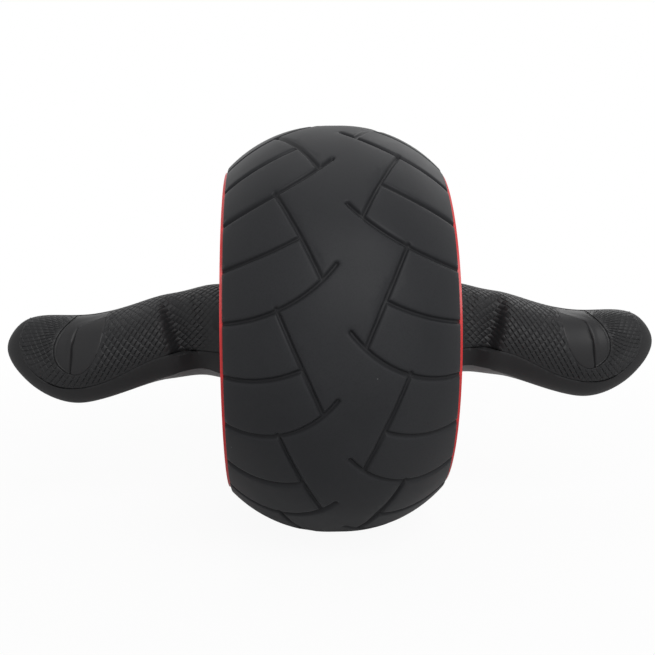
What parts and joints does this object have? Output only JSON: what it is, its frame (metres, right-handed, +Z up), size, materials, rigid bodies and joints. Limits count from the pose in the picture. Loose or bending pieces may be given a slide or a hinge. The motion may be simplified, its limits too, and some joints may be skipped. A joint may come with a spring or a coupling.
{
  "type": "ab wheel roller",
  "caption": "Ab wheel roller: wide crowned grooved tyre on a red core that winds a spiral spring as it rolls out, between two drooping contoured handles on a steel axle.",
  "frame": {"origin": "where the tyre touches the floor, under the middle of the wheel", "axes": "+X along the axle to the right, +Z up, -Y towards the palm side of the handles"},
  "size_m": [0.2988, 0.185, 0.185],
  "materials": {
    "tyre_rubber": "matte moulded rubber with a fine satin bloom",
    "core_red": "moulded red plastic, semi-gloss",
    "cover_black": "moulded black plastic, fine spark texture",
    "handle_black": "moulded black plastic, fine spark texture",
    "handle_grey": "moulded dark grey plastic, fine spark texture",
    "grip_rubber": "soft rubber with a diamond texture",
    "inlay_black": "smooth satin plastic",
    "axle_steel": "ground steel",
    "spring_steel": "blued spring steel",
    "fastener_steel": "zinc-plated steel, darkened",
    "bush_nylon": "natural nylon",
    "arbor_nylon": "black glass-filled nylon"
  },
  "bodies": {
    "handles": {"axle": "axle_steel", "spring_arbor": "arbor_nylon", "arbor_pin": "axle_steel", "power_spring": "spring_steel", "thrust_washer_left": "axle_steel", "retaining_ring_left": "spring_steel", "handle_front_left": "handle_black", "handle_rear_left": "handle_grey", "grip_pad_left": "grip_rubber", "thumb_inlay_left": "inlay_black", "handle_bolt_left": "fastener_steel", "handle_screws_left": "fastener_steel", "thrust_washer_right": "axle_steel", "retaining_ring_right": "spring_steel", "handle_front_right": "handle_black", "handle_rear_right": "handle_grey", "grip_pad_right": "grip_rubber", "thumb_inlay_right": "inlay_black", "handle_bolt_right": "fastener_steel", "handle_screws_right": "fastener_steel"},
    "wheel": {"tyre": "tyre_rubber", "core_left": "core_red", "core_right": "core_red", "core_screws": "fastener_steel", "side_cover_left": "cover_black", "side_cover_right": "cover_black", "cover_screws_left": "fastener_steel", "cover_screws_right": "fastener_steel", "bush_left": "bush_nylon", "bush_right": "bush_nylon", "guide_disc_left": "bush_nylon", "guide_disc_right": "bush_nylon", "anchor_pin": "axle_steel"}
  },
  "joints": [
    {"name": "wheel_spin", "type": "hinge", "parent": "handles", "child": "wheel", "pos_m": [0, 0, 0.0925], "axis": [-1, 0, 0], "range_deg": [0, 780], "stiffness_Nm_per_rad": 0.5, "deforming": ["power_spring"]}
  ]
}
